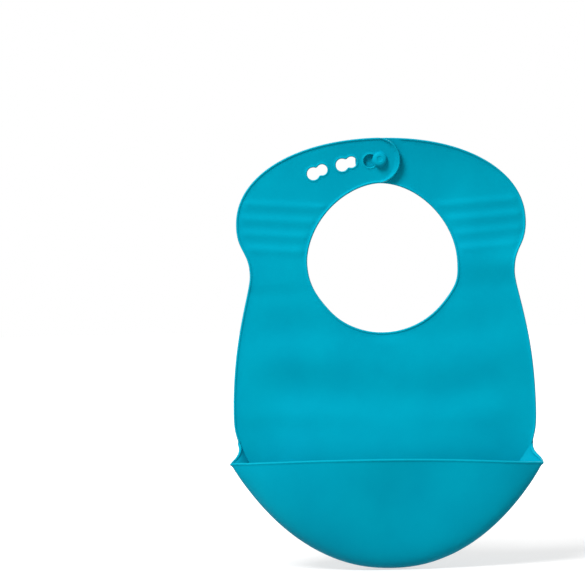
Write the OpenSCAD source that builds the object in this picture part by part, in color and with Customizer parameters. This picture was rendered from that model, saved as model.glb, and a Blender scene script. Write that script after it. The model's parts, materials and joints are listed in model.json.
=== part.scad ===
// Silicone bib with a crumb pocket, a ribbed collar and a keyhole closure.
// It stands upright: the front faces -Y, +Z is up, and the origin is the centre of the neck opening.
// Every piece is drawn flat, with y up the bib and z out of its front, and then turned upright.

/* [Sheet] */
// Thickness of the moulded sheet
sheet_t = 1.5; // [1.3:0.1:1.8]
// Width of the raised bead along the free edges
edge_bead_w = 1.7; // [1.4:0.1:2]
// Height of that bead on the front
edge_bead_h = 0.4; // [0.2:0.05:0.45]
// Clearance left at each bending line
flex_gap = 0.15; // [0.1:0.05:0.2]

/* [Neck opening] */
// Half width of the neck opening
neck_half = 54; // [52:0.2:56]
// Height of the neck opening
neck_h = 107.6; // [105:0.2:110]
// Height of its widest line
neck_wide_y = -2; // [-4:0.5:0]
// Fullness of its upper half, where 2 is an ellipse
neck_fullness = 1.82; // [1.75:0.01:1.9]

/* [Outline] */
// Width of the collar at the closure
collar_band = 32.6; // [31.4:0.2:33.8]
// Half width across the shoulders
shoulder_half = 105; // [102:0.5:108]
// Height of the widest shoulder line
shoulder_y = 25; // [23:0.5:27]
// Fullness of the collar's outer edge, where 2 is an ellipse
collar_fullness = 2.14; // [2.08:0.02:2.2]
// Half width at the waist under the shoulders
waist_half = 95.8; // [94:0.2:97.6]
// Height of the waist
waist_y = -11.5; // [-13:0.5:-10]
// Half width of the chest panel
chest_half = 109.5; // [107.5:0.5:111]
// Height of the widest chest line
chest_y = -112; // [-114:1:-109]
// Half width where the panel meets the pocket corner
notch_half = 106.4; // [105.6:0.1:107]
// Height of that point
notch_y = -133; // [-134:0.5:-132]

/* [Ribs] */
// Number of bending ribs on each shoulder
rib_count = 4; // [4:1:4]
// Distance between ribs
rib_pitch = 10.8; // [10:0.1:11]
// Height of the lowest rib
rib_low_y = 7.5; // [7:0.1:8]
// Radius of the rib that the collar bends about
knuckle_r = 1.8; // [1.6:0.1:2]
// Radius of the other ribs' round tops
rib_round = 4.6; // [4:0.1:5]
// Height of the other ribs above the sheet
rib_h = 0.9; // [0.6:0.1:1]

/* [Closure] */
// How far the straps' round ends are centred left of the middle
end_left = 1.6; // [1.2:0.1:2]
// How far the stud sits left of the middle
stud_left = 0.4; // [0:0.1:0.8]
// How far the stud sits above the middle of the collar
stud_up = 0.8; // [0.4:0.1:1]
// Diameter of the stud's head
head_d = 9; // [8.6:0.1:9.4]
// Thickness of the stud's head
head_h = 2.6; // [2.4:0.1:3]
// Diameter of the stud's stem
stem_d = 5.6; // [5:0.1:6]
// Height of the stud's stem
stem_h = 3.6; // [3.5:0.05:3.8]
// Number of keyholes in the tab
hole_count = 3; // [3:1:3]
// Angle between keyholes, seen from the neck's centre
hole_step = 16.4; // [16:0.1:16.8]
// Diameter of the keyhole's locking lobe
lock_d = 7.8; // [7.4:0.1:8]
// Diameter of its entry lobe
entry_d = 9; // [8.8:0.1:9.2]
// Distance between the two lobes
lobe_gap = 6.9; // [6.6:0.1:7.1]
// Half width of the ellipse that the keyholes follow
hole_row_half = 100; // [97:0.5:103]
// Slope of the keyhole that the stud is in
hole_slope = 9; // [7:0.5:11]
// How much steeper each next keyhole is
hole_slope_step = 7; // [6:0.5:8]
// Width of the raised lip round a keyhole
lip_w = 0.9; // [0.7:0.1:1]
// Height of that lip
lip_h = 0.3; // [0.2:0.05:0.35]
// Greatest width of the crescent rim at the tab's end
crescent_w = 3.4; // [3:0.1:4]
// Height of the crescent rim
crescent_h = 0.7; // [0.5:0.1:0.8]
// Direction of the line that the tab lifts about
peel_dir = 140; // [139:0.5:141]
// Distance of that line from the neck's centre
peel_offset = 6.3; // [6:0.1:6.6]
// Rise of the tab as it lies over the other strap
tab_tilt = 3.5; // [3.4:0.05:3.7]

/* [Pocket] */
// Half width across the pocket's corner tips
pocket_half = 112; // [110.5:0.5:113.5]
// Height of the corner tips
rim_y = -148; // [-148.6:0.2:-147.4]
// Drop from the corner tips to the lowest point
pocket_drop = 75; // [73:0.2:77]
// Sharpness of the pocket's lower outline
pocket_fall = 0.9; // [0.87:0.01:0.93]
// Roundness of its lowest part
pocket_round = 2.15; // [2.05:0.05:2.25]
// Depth of the widest contour in front of the back
parting_z = 15.5; // [14.5:0.5:16]
// Depth of the rim at the middle
pocket_depth = 36; // [34:0.5:38]
// How far the rim arches up in the middle
rim_rise = 3.8; // [2:0.2:4.6]
// Inset of the crease at the corners
corner_inset = 15.5; // [15:0.5:16]
// Inset of the bottom turn
turn_inset = 14; // [13:0.5:15]
// Height of the bead on the rim
rim_bead_h = 1.4; // [1:0.1:1.6]
// How far that bead stands out from the wall on each side
rim_bead_out = 0.35; // [0.2:0.05:0.4]
// Height of the line that the panel folds about
fold_y = -101; // [-104:1:-98]

/* [Hidden] */
$fn = 48;
teal = [0, 0.63, 0.73];
deep_teal = [0, 0.56, 0.68];
light_teal = [0, 0.68, 0.77];

far = 400;
neck_top = neck_h / 2;
neck_low = -neck_h / 2;
collar_top = neck_top + collar_band;
tab_r = collar_band / 2;
end_at = [-end_left, neck_top + tab_r];
stud_at = [-stud_left, neck_top + tab_r + stud_up];
nose_r = sheet_t / 2;
hinge_rib = 1;
hinge_y = rib_low_y + hinge_rib * rib_pitch;
crease_half = pocket_half - corner_inset;
crease_drop = pocket_drop - turn_inset;
part_gap = 2 * flex_gap;
fold_margin = 3;
column_step = 3.75;
last_column = 90 - column_step;
turn_rows = 6;
wall_rows = 9;
gusset_steps = 10;
gusset_end = 0.95;
straight_corner = 0.2;
soft_corner = 20;

function mix(a, b, t) = a + (b - a) * t;
function smooth(t) = let (k = max(0, min(1, t))) k * k * (3 - 2 * k);
function curve3(a, b, c, t) = mix(mix(a, b, t), mix(b, c, t), t);
function curve4(a, b, c, d, t) = mix(curve3(a, b, c, t), curve3(b, c, d, t), t);
function mirrored(points) = [for (i = [len(points) - 1 : -1 : 0]) [-points[i].x, points[i].y]];
function signed_pow(v, p) = sign(v) * pow(abs(v), p);
function at_depth(p, z) = [p.x, p.y, z];
function right_of(run) = [run.y, -run.x] / norm(run);
function moved_right(points, d) =
    let (last = len(points) - 1)
    [for (i = [0 : last]) points[i] + d * right_of(points[min(last, i + 1)] - points[max(0, i - 1)])];

// Edges of the flat sheet

function neck_point(a) =
    let (up = sin(a) > 0, p = up ? 2 / neck_fullness : 1)
    let (reach = up ? neck_top - neck_wide_y : neck_wide_y - neck_low)
    [neck_half * signed_pow(cos(a), p), neck_wide_y + reach * signed_pow(sin(a), p)];

function collar_point(a) =
    let (p = 2 / collar_fullness)
    [shoulder_half * pow(sin(a), p), shoulder_y + (collar_top - shoulder_y) * pow(cos(a), p)];

function side_points(a, b, lead, trail, steps) = [
    for (i = [1 : steps])
        curve4(a, a - [0, lead], b + [0, trail], b, i / steps)
];

shoulder = [shoulder_half, shoulder_y];
waist = [waist_half, waist_y];
chest = [chest_half, chest_y];
notch = [notch_half, notch_y];

right_edge = concat(
    [for (a = [0 : 5 : 90]) collar_point(a)],
    side_points(shoulder, waist, 18.5, 18, 8),
    side_points(waist, chest, 12, 56, 10),
    side_points(chest, notch, 11, 8, 4)
);

// Curves of the pocket, with u from -1 at the left tip to 1 at the right tip

function fall(u) = pow(max(0, 1 - pow(abs(u), pocket_round)), pocket_fall);
function crease(u) = [crease_half * u, rim_y - crease_drop * fall(u)];
function contour(u) = [pocket_half * u, rim_y - pocket_drop * fall(u)];
function outward(w) =
    abs(w) == 90 ? [sign(w), 0] :
    let (run = contour(sin(w + 0.5)) - contour(sin(w - 0.5)))
    [run.y, -run.x] / norm(run);

columns = [for (w = [-90 : column_step : 90]) w];
wall_columns = [for (w = [-last_column : column_step : last_column]) w];

// Section of the bottom turn, from the back sheet out to the widest contour

function turn_row(c, e, low, round_share, v) =
    let (middle = mix(at_depth(c, low), at_depth(e, parting_z), 0.5))
    curve3(at_depth(c, low), mix(middle, at_depth(e, low), round_share), at_depth(e, parting_z), v);

function turn_section(w) =
    let (u = sin(w), c = crease(u), e = contour(u), inner = e - sheet_t * outward(w))
    let (share = smooth((1 - abs(u)) / straight_corner))
    concat(
        [for (i = [0 : turn_rows]) turn_row(c, e, 0, share, i / turn_rows)],
        [for (i = [turn_rows : -1 : 0]) turn_row(c, inner, sheet_t, share, i / turn_rows)]
    );

// Section of the front wall, from the widest contour up to the rim

function wall_top(u) = [
    pocket_half * u,
    rim_y + rim_rise * (1 - u * u),
    parting_z + part_gap + (pocket_depth - parting_z - part_gap) * pow(1 - u * u, 0.8)
];

function wall_height(w) = wall_top(sin(w)).y - contour(sin(w)).y;

function wall_outer(w, v) =
    let (u = sin(w), foot = at_depth(contour(u), parting_z + part_gap), top = wall_top(u))
    let (high = wall_height(w))
    curve4(
        foot,
        foot + [0, 0, 0.153 * high],
        [foot.x, foot.y + 0.38 * high, top.z - 0.033 * high],
        top,
        v
    );

function wall_turn(w, v) =
    let (run = wall_outer(w, min(1, v + 0.01)) - wall_outer(w, max(0, v - 0.01)))
    atan2(run.y, run.z) * min(1, wall_height(w) / soft_corner) * min(1, v / 0.02);

function wall_normal(w, v) =
    let (turn = wall_turn(w, v), out = outward(w))
    [cos(turn) * out.x, cos(turn) * out.y, sin(turn)];

function wall_rise(w) =
    let (turn = wall_turn(w, 1), out = outward(w))
    [-sin(turn) * out.x, -sin(turn) * out.y, cos(turn)];

function wall_section(w) = concat(
    [for (i = [0 : wall_rows]) wall_outer(w, i / wall_rows)],
    [for (i = [wall_rows : -1 : 0]) wall_outer(w, i / wall_rows) - sheet_t * wall_normal(w, i / wall_rows)]
);

function rim_section(w) =
    let (front = wall_outer(w, 1), n = wall_normal(w, 1), up = wall_rise(w) * rim_bead_h)
    let (back = front - sheet_t * n, swell = n * rim_bead_out)
    [front, front + swell + 0.4 * up, front + up, back + up, back - swell + 0.4 * up, back];

// Section of a pleated corner, from the crease out to its free edge, with s from the rim to the notch

tip = contour(1);
corner = crease(1);

function gusset_edge(s) =
    at_depth(curve4(tip, tip + [-1, 3.2], notch + [-0.2, -12.2], notch, s), parting_z * pow(1 - s, 1.3));

function gusset_section(s) =
    let (c = mix(corner, notch, s), e = gusset_edge(s), run = [e.x - c.x, e.y - c.y])
    let (out = run / norm(run), lean = 90 * (1 - s))
    [
        at_depth(c, 0),
        e,
        e + sheet_t * [-sin(lean) * out.x, -sin(lean) * out.y, cos(lean)],
        at_depth(c, sheet_t)
    ];

// A solid through a row of sections, each half front points and half back points.
// Two lofts that share a face split its quads along opposite diagonals, so one of them leans.

module loft(sections, leaning = false) {
    n = len(sections);
    m = len(sections[0]);
    points = [for (s = sections) each s];
    sides = [
        for (i = [0 : n - 2], j = [0 : m - 1])
            let (a = i * m + j, b = i * m + (j + 1) % m)
            each leaning
                ? [[a, a + m, b], [b, a + m, b + m]]
                : [[a, a + m, b + m], [a, b + m, b]]
    ];
    ends = [
        for (j = [0 : m / 2 - 2])
            let (p = j, q = j + 1, r = m - 2 - j, s = m - 1 - j, last = (n - 1) * m)
            each [[p, q, r], [p, r, s], [last + r, last + q, last + p], [last + s, last + r, last + p]]
    ];
    polyhedron(points, concat(sides, ends), convexity = 6);
}

// Flat shapes of the sheet

module outline() {
    crease_points = [for (w = [90 : -column_step : 0]) crease(sin(w))];
    right = concat(right_edge, crease_points);
    polygon(concat(right, mirrored([for (i = [1 : len(right) - 2]) right[i]])));
}

module neck_shape() {
    polygon([for (a = [0 : 5 : 355]) neck_point(a)]);
}

module collar_shape() {
    difference() {
        outline();
        neck_shape();
    }
}

// Strip along the neck and the outer edges, open towards the pocket
module bead_shape() {
    inner = moved_right(right_edge, edge_bead_w);
    right = concat(inner, [[inner[len(inner) - 1].x, rim_y - pocket_drop]]);
    turn = [for (a = [-5 : 5 : 365]) neck_point(a)];
    grown = moved_right(turn, edge_bead_w);
    difference() {
        collar_shape();
        difference() {
            polygon(concat(right, mirrored(right)));
            polygon([for (i = [1 : len(grown) - 3]) grown[i]]);
        }
    }
}

module level(low, high) {
    translate([-far / 2, low])
        square([far, high - low]);
}

module half(side) {
    translate([side > 0 ? 0 : -far, -far / 2])
        square([far, far]);
}

// Everything on the tab's side of a line that runs beside the peel line
module tab_side(shift) {
    rotate(peel_dir - 90)
        translate([peel_offset + shift, -far / 2])
            square([far, far]);
}

// Everything to the right or left of the round ends' centre, from some distance on
module beyond_end(side, from = 0) {
    translate([side > 0 ? end_at.x + from : end_at.x - from - far, -far / 2])
        square([far, far]);
}

module shoulder_shape(side) {
    intersection() {
        collar_shape();
        half(side);
    }
}

module strap_end() {
    translate(end_at)
        circle(r = tab_r);
}

module left_strap_shape() {
    difference() {
        shoulder_shape(-1);
        tab_side(-nose_r - flex_gap);
        level(-far, hinge_y);
    }
}

module right_strap_shape() {
    intersection() {
        collar_shape();
        beyond_end(1);
        level(hinge_y, far);
    }
    strap_end();
}

module tab_shape() {
    intersection() {
        collar_shape();
        beyond_end(-1);
        tab_side(0);
    }
    strap_end();
}

// Strip round the tab's free edge
module tab_bead_shape() {
    intersection() {
        tab_shape();
        union() {
            intersection() {
                bead_shape();
                beyond_end(-1);
                tab_side(fold_margin);
            }
            difference() {
                beyond_end(1);
                translate(end_at)
                    circle(r = tab_r - edge_bead_w);
            }
        }
    }
}

// The raised bead on a flat shape, which stops short of the lines where the sheet folds forward
module edge_bead() {
    linear_extrude(sheet_t + edge_bead_h)
        difference() {
            intersection() {
                bead_shape();
                children();
            }
            level(fold_y - fold_margin, fold_y + fold_margin);
        }
}

module across(y, r) {
    translate([-far / 2, y, 0])
        rotate([0, 90, 0])
            cylinder(r = r, h = far);
}

// Round-topped ribs across a flat shape
module ribs(first, last) {
    intersection() {
        translate([0, 0, sheet_t + rib_h - rib_round])
            for (i = [first : last])
                across(rib_low_y + i * rib_pitch, rib_round);
        linear_extrude(sheet_t + 2 * rib_h)
            children();
    }
}

// The round rib that joins a strap to its shoulder
module knuckle(side) {
    intersection() {
        translate([0, 0, nose_r])
            across(hinge_y, knuckle_r);
        translate([0, 0, -knuckle_r])
            linear_extrude(3 * knuckle_r)
                shoulder_shape(side);
    }
}

module shoulder_flat(side) {
    intersection() {
        shoulder_shape(side);
        level(waist_y, hinge_y);
    }
}

module shoulder_piece(side) {
    difference() {
        union() {
            linear_extrude(sheet_t)
                shoulder_flat(side);
            edge_bead()
                shoulder_flat(side);
            ribs(0, hinge_rib - 1)
                shoulder_shape(side);
        }
        translate([0, 0, nose_r])
            across(hinge_y, knuckle_r + flex_gap / 2);
    }
}

module strap_piece(side) {
    linear_extrude(sheet_t)
        children();
    edge_bead()
        difference() {
            intersection() {
                beyond_end(side, tab_r);
                children();
            }
            if (side < 0)
                tab_side(-fold_margin);
        }
    ribs(hinge_rib + 1, rib_count - 1)
        children();
    knuckle(side);
}

function hole_angle(i) = atan2(stud_at.y, stud_at.x) + i * hole_step;
function hole_at(i) =
    let (a = hole_angle(i), wide = cos(a) / hole_row_half, tall = sin(a) / norm(stud_at))
    [cos(a), sin(a)] / norm([wide, tall]);

module keyhole(grow, high) {
    for (i = [0 : hole_count - 1]) {
        slope = hole_slope + i * hole_slope_step;
        translate(at_depth(hole_at(i), 0)) {
            cylinder(d = lock_d + grow, h = high);
            translate([-lobe_gap * cos(slope), -lobe_gap * sin(slope), 0])
                cylinder(d = entry_d + grow, h = high);
        }
    }
}

module crescent() {
    translate(at_depth(end_at, 0))
        difference() {
            cylinder(r = tab_r, h = sheet_t + crescent_h);
            translate([-crescent_w, 0, -1])
                cylinder(r = tab_r, h = far);
        }
}

module peel_nose() {
    intersection() {
        rotate([0, 0, peel_dir - 90])
            translate([peel_offset, far / 2, nose_r])
                rotate([90, 0, 0])
                    cylinder(r = nose_r, h = far);
        linear_extrude(sheet_t)
            shoulder_shape(-1);
    }
}

module tab_blank() {
    linear_extrude(sheet_t)
        tab_shape();
    linear_extrude(sheet_t + edge_bead_h)
        tab_bead_shape();
    peel_nose();
    keyhole(2 * lip_w, sheet_t + lip_h);
    crescent();
}

// Turns a flat piece about the peel line
module lifted(angle) {
    root = peel_offset * [sin(peel_dir), -cos(peel_dir)];
    translate([root.x, root.y, nose_r])
        rotate(-angle, v = [cos(peel_dir), sin(peel_dir), 0])
            translate([-root.x, -root.y, -nose_r])
                children();
}

module upright() {
    rotate([90, 0, 0])
        children();
}

// The pieces

module chest_shape() {
    intersection() {
        collar_shape();
        level(fold_y + nose_r + flex_gap, waist_y);
    }
}

module chest_panel() {
    color(teal)
        upright() {
            linear_extrude(sheet_t)
                chest_shape();
            edge_bead()
                chest_shape();
        }
}

module left_shoulder() {
    color(teal)
        upright()
            shoulder_piece(-1);
}

module right_shoulder() {
    color(teal)
        upright()
            shoulder_piece(1);
}

module left_strap() {
    color(light_teal)
        upright()
            strap_piece(-1)
                left_strap_shape();
}

module right_strap() {
    color(light_teal)
        upright()
            strap_piece(1)
                right_strap_shape();
}

module strap_tab() {
    color(teal)
        upright()
            lifted(tab_tilt)
                difference() {
                    tab_blank();
                    translate([0, 0, -1])
                        keyhole(0, far);
                }
}

module closure_stud() {
    foot_r = 6;
    head_low = stem_h;
    head_r = head_d / 2;
    dimple_r = 2.4;
    color(light_teal)
        upright()
            translate(at_depth(stud_at, sheet_t))
                rotate_extrude()
                    polygon([
                        [0, 0],
                        [foot_r, 0],
                        [foot_r - 1, 0.5],
                        [stem_d / 2, 1],
                        [stem_d / 2, head_low],
                        [head_r - 0.4, head_low],
                        for (a = [0 : 15 : 60])
                            [head_r - 1.9 + 1.9 * cos(a), head_low + 0.7 + (head_h - 0.7) * sin(a)],
                        [dimple_r, head_low + head_h],
                        [dimple_r - 0.5, head_low + head_h - 0.4],
                        [0, head_low + head_h - 0.4]
                    ]);
}

module lower_shape() {
    intersection() {
        outline();
        level(-far, fold_y);
    }
}

module pocket_back() {
    color(teal)
        upright() {
            linear_extrude(sheet_t)
                lower_shape();
            edge_bead()
                lower_shape();
            intersection() {
                translate([0, 0, nose_r])
                    across(fold_y, nose_r);
                linear_extrude(sheet_t)
                    outline();
            }
        }
}

module pocket_base() {
    color(deep_teal)
        upright()
            loft([for (w = columns) turn_section(w)]);
}

module gusset() {
    loft([for (i = [0 : gusset_steps]) gusset_section(gusset_end * i / gusset_steps)]);
}

module right_gusset() {
    color(light_teal)
        upright()
            gusset();
}

module left_gusset() {
    color(light_teal)
        upright()
            mirror([1, 0, 0])
                gusset();
}

module pocket_wall() {
    color(deep_teal)
        upright()
            loft([for (w = wall_columns) wall_section(w)]);
}

module pocket_rim() {
    color(light_teal)
        upright()
            loft([for (w = wall_columns) rim_section(w)], leaning = true);
}

chest_panel();
left_shoulder();
right_shoulder();
left_strap();
strap_tab();
right_strap();
closure_stud();
pocket_back();
pocket_base();
left_gusset();
right_gusset();
pocket_wall();
pocket_rim();
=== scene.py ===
"""Dresses the silicone bib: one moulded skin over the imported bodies, a satin finish and a plain studio."""
import json
import math

import bpy
import numpy as np
from bpy.props import FloatProperty, FloatVectorProperty, IntProperty, PointerProperty
from mathutils import Euler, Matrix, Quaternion, Vector
from mathutils.geometry import delaunay_2d_cdt


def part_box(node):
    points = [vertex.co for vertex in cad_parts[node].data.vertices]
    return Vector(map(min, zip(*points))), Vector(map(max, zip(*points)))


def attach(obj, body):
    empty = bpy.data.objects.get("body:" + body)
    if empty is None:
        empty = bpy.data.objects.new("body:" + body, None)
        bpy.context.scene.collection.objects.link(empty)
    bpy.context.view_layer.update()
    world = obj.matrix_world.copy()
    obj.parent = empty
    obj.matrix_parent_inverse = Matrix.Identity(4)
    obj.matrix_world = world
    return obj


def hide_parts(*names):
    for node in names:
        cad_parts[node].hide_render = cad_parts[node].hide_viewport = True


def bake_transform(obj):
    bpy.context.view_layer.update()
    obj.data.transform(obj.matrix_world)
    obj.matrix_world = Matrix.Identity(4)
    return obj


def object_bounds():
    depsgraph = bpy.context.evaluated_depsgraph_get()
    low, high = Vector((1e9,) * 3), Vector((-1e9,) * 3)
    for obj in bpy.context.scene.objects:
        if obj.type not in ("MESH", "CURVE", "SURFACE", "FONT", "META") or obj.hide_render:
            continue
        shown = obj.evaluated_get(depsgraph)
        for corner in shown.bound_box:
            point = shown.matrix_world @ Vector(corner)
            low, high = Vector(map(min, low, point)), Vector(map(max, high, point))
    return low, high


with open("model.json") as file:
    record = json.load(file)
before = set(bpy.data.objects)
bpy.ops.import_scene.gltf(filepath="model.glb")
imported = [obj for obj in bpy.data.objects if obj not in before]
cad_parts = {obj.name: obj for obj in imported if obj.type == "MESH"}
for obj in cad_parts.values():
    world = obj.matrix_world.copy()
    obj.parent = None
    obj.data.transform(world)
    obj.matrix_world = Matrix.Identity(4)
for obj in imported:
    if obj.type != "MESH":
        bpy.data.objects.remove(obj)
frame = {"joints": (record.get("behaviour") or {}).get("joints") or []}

bl_info = {
    "name": "Silicone Bib",
    "version": (1, 0, 0),
    "blender": (4, 5, 0),
    "location": "View3D > Sidebar > Bib",
    "description": "Builds a moulded silicone bib with a crumb pocket over its packed frame",
    "category": "Add Mesh",
}

CAD_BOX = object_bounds()
MM = 0.001
JOINTS = {joint["name"]: joint for joint in frame["joints"]}
SHEET_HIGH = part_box("chest_panel")[1]
LOWER_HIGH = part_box("pocket_back")[1]
BASE_LOW, BASE_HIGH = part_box("pocket_base")
WALL_LOW, WALL_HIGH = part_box("pocket_wall")
TAB_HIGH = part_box("strap_tab")[1]
STUD_LOW, STUD_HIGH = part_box("closure_stud")
IMAGE_SIDE = 585


# Sizes and finishes that a user would change


def length(name, description, default):
    """A size in metres."""
    return FloatProperty(name=name, description=description, default=default, unit="LENGTH", precision=5)


def angle(name, description, degrees):
    """An angle, given in degrees."""
    return FloatProperty(name=name, description=description, default=math.radians(degrees), subtype="ANGLE")


def factor(name, description, default):
    """A plain number."""
    return FloatProperty(name=name, description=description, default=default, precision=4)


def colour(name, description, default):
    """A linear colour."""
    return FloatVectorProperty(name=name, description=description, default=default, subtype="COLOR", size=3)


class BibSheetSizes(bpy.types.PropertyGroup):
    """The moulded sheet and its edge."""

    thickness: length("Thickness", "Thickness of the sheet", -2 * JOINTS["panel_fold"]["pos_m"][1])
    bead_width: length("Bead width", "Width of the raised bead along the edge", 1.9 * MM)
    bead_height: length("Bead height", "Height of the bead on the front", 0.65 * MM)
    back_bead: length("Back bead", "Height of the bead on the back", 0.12 * MM)
    wave: length("Waviness", "Height of the soft waves in the panel", 0.9 * MM)
    belly: length("Belly", "How far the panel stands forward at the pocket's mouth", 8.5 * MM)
    lean: length("Lean", "How far the right shoulder falls back", 10.0 * MM)
    nod: length("Nod", "How far the collar's top bends forward", 5.5 * MM)
    root: length("Root bend", "How far the straps' roots bend forward", 3.8 * MM)
    dip: length("Neck dip", "How far the neck opening's lowest edge bends back", 1.2 * MM)
    curl: length("Curl", "How far the panel's left margin curls forward and its right one back", 2.2 * MM)
    skew: angle("Skew", "How far askew the soft pocket hangs, with its left corner up", 0.9)
    heave: length("Heave", "How far the soft panel pulls the pocket up", 0.6 * MM)
    edge_round: length("Edge rounding", "Radius of the rounded edge", 0.8 * MM)
    spacing: length("Mesh spacing", "Distance between points on the plain sheet", 3.0 * MM)


class BibCollarSizes(bpy.types.PropertyGroup):
    """The neck opening, the outer edge and the ribs."""

    neck_half: length("Neck half width", "Half width of the neck opening", 54.0 * MM)
    neck_height: length("Neck height", "Height of the neck opening", 107.6 * MM)
    neck_wide: length("Widest line", "Height of the neck opening's widest line", -2.0 * MM)
    neck_fullness: factor("Neck fullness", "Fullness of the opening's upper half", 1.82)
    neck_sway: length("Neck sway", "How far the opening's lower half hangs to the right", 1.7 * MM)
    top: length("Collar top", "Height of the collar's top edge", TAB_HIGH.z)
    shoulder_half: length("Shoulder half width", "Half width across the shoulders", 105.0 * MM)
    shoulder_height: length("Shoulder height", "Height of the widest shoulder line", 25.0 * MM)
    fullness: factor("Collar fullness", "Fullness of the collar's outer edge", 2.14)
    waist_half: length("Waist half width", "Half width under the shoulders", 95.8 * MM)
    waist_height: length("Waist height", "Height of the waist", SHEET_HIGH.z)
    chest_half: length("Chest half width", "Half width of the chest", LOWER_HIGH.x)
    chest_height: length("Chest height", "Height of the widest chest line", -112.0 * MM)
    notch_half: length("Notch half width", "Half width where the pocket's corner begins", 106.6 * MM)
    notch_height: length("Notch height", "Height of that point", -133.5 * MM)
    rib_count: IntProperty(name="Ribs", description="Bending ribs on each shoulder", default=4, min=1)
    rib_pitch: length("Rib pitch", "Distance between ribs", 10.8 * MM)
    rib_low: length("Lowest rib", "Height of the lowest rib", 7.5 * MM)
    rib_height: length("Rib height", "Height of a rib above the sheet", 0.9 * MM)
    rib_width: length("Rib width", "Width of a rib's short upper slope", 1.9 * MM)
    rib_tail: length("Rib tail", "Width of a rib's long lower slope", 3.8 * MM)
    rib_slope: angle("Rib slope", "How the ribs rise towards the shoulders", 4.0)


class BibClosureSizes(bpy.types.PropertyGroup):
    """The tab, its keyholes and the stud."""

    end_left: length("End centre", "How far left of the middle the straps' ends are centred", 1.6 * MM)
    hole_count: IntProperty(name="Keyholes", description="Keyholes in the tab", default=3, min=1)
    hole_step: angle("Keyhole step", "Angle between keyholes seen from the neck's centre", 16.4)
    hole_row_half: length("Keyhole row", "Half width of the ellipse that the keyholes follow", 100.0 * MM)
    hole_slope: angle("Keyhole slope", "Slope of the keyhole that the stud is in", 9.0)
    hole_slope_step: angle("Slope step", "How much steeper each next keyhole is", 7.0)
    lock_radius: length("Locking lobe", "Radius of the keyhole's locking lobe", 3.9 * MM)
    entry_radius: length("Entry lobe", "Radius of its entry lobe", 4.5 * MM)
    lobe_gap: length("Lobe distance", "Distance between the two lobes", 6.9 * MM)
    lobe_fillet: length("Lobe fillet", "Rounding between the two lobes", 1.6 * MM)
    lip_width: length("Lip width", "Width of the raised lip round a keyhole", 1.0 * MM)
    lip_height: length("Lip height", "Height of that lip", 0.32 * MM)
    crescent_width: length("Crescent width", "Greatest width of the rim at the tab's end", 3.4 * MM)
    crescent_height: length("Crescent height", "Height of that rim", 0.95 * MM)
    tilt: angle("Tab rise", "Slope of the tab as it lies over the other strap", 3.5)
    bend: length("Bend", "Half width of the bend at the tab's root", 6.5 * MM)


class BibPocketSizes(bpy.types.PropertyGroup):
    """The crumb pocket."""

    half: length("Half width", "Half width across the corner tips", BASE_HIGH.x)
    tip_height: length("Tip height", "Height of the corner tips", BASE_HIGH.z)
    drop: length("Drop", "Drop from the tips to the lowest point", BASE_HIGH.z - BASE_LOW.z)
    fall: factor("Fall", "Sharpness of the lower outline", 0.9)
    roundness: factor("Roundness", "Roundness of its lowest part", 2.15)
    parting: length("Parting depth", "Depth of the widest contour", -BASE_LOW.y)
    depth: length("Depth", "Depth of the rim at the middle", -WALL_LOW.y)
    rim_rise: length("Rim rise", "How far the rim arches up in the middle", WALL_HIGH.z - BASE_HIGH.z)
    left_inset: length("Left inset", "Inset of the crease at the left corner", 12.5 * MM)
    right_inset: length("Right inset", "Inset of the crease at the right corner", 15.5 * MM)
    left_bow: factor("Left bow", "How hollow the left pleated corner is", 0.17)
    right_bow: factor("Right bow", "How hollow the right pleated corner is", -0.2)
    tip_flare: length("Tip flare", "How far the corner tips' soft lobes stand out", 0.9 * MM)
    tuck: length("Tuck", "How far back the left part of the widest contour lies", 3.0 * MM)
    twist: length("Twist", "How far the rim comes forward on the left and goes back on the right", 3.0 * MM)
    turn_inset: length("Turn inset", "Inset of the bottom turn", 14.0 * MM)
    rim_bead: length("Rim bead", "How far the rim's bead stands out in front", 0.4 * MM)


class BibFinish(bpy.types.PropertyGroup):
    """The silicone's colour, the painted edge light and the gloss."""

    tone: colour("Silicone", "Main colour of the silicone", (0.0, 0.345, 0.485))
    # Painted light: a paler colour painted on the free edges, standing in for light through the thin
    # translucent edge and the bead's catch light.
    painted_edge_light: colour("Pale silicone", "Colour at thin edges", (0.004, 0.43, 0.56))
    deep: colour("Deep silicone", "Colour of the faint darker clouds", (0.0, 0.315, 0.455))
    roughness: factor("Roughness", "Roughness of the satin surface", 0.5)


class BibStageSizes(bpy.types.PropertyGroup):
    """The camera, the light and the floor."""

    distance: length("Camera distance", "Distance from the camera to the bib", 2.0)
    metres_per_pixel: length("Pixel", "Width of one pixel of the picture at the bib", 0.7235 * MM)
    aim_x: length("Aim across", "Where the camera aims, across", -65.14 * MM)
    aim_z: length("Aim up", "Where the camera aims, up", -23.75 * MM)
    roll: angle("Roll", "How far the bib leans to the left in the picture", 1.2)
    key: factor("Key light", "Power of the main light in watts", 182.0)
    fill: factor("Fill light", "Power of the fill light in watts", 2.5)
    back: factor("Back light", "Power of the light behind the bib in watts", 12.0)
    ambient: factor("Ambient", "Strength of the even light all round", 0.19)


class BibSettings(bpy.types.PropertyGroup):
    """All settings of the bib."""

    sheet: PointerProperty(type=BibSheetSizes)
    collar: PointerProperty(type=BibCollarSizes)
    closure: PointerProperty(type=BibClosureSizes)
    pocket: PointerProperty(type=BibPocketSizes)
    finish: PointerProperty(type=BibFinish)
    stage: PointerProperty(type=BibStageSizes)


# Plain geometry. Flat points are (across, up) and get a height out of the front.


def ramp(value, start, end):
    """An eased step that is 0 at the start and 1 at the end."""
    t = np.clip((value - start) / (end - start), 0.0, 1.0)
    return t * t * (3.0 - 2.0 * t)


def unit(v):
    """Vectors scaled to length 1, with zero ones left alone."""
    size = np.linalg.norm(v, axis=-1, keepdims=True)
    return v / np.where(size < 1e-12, 1.0, size)


def mix(a, b, t):
    """Points between a and b."""
    return a + (b - a) * np.asarray(t)[..., None]


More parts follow.
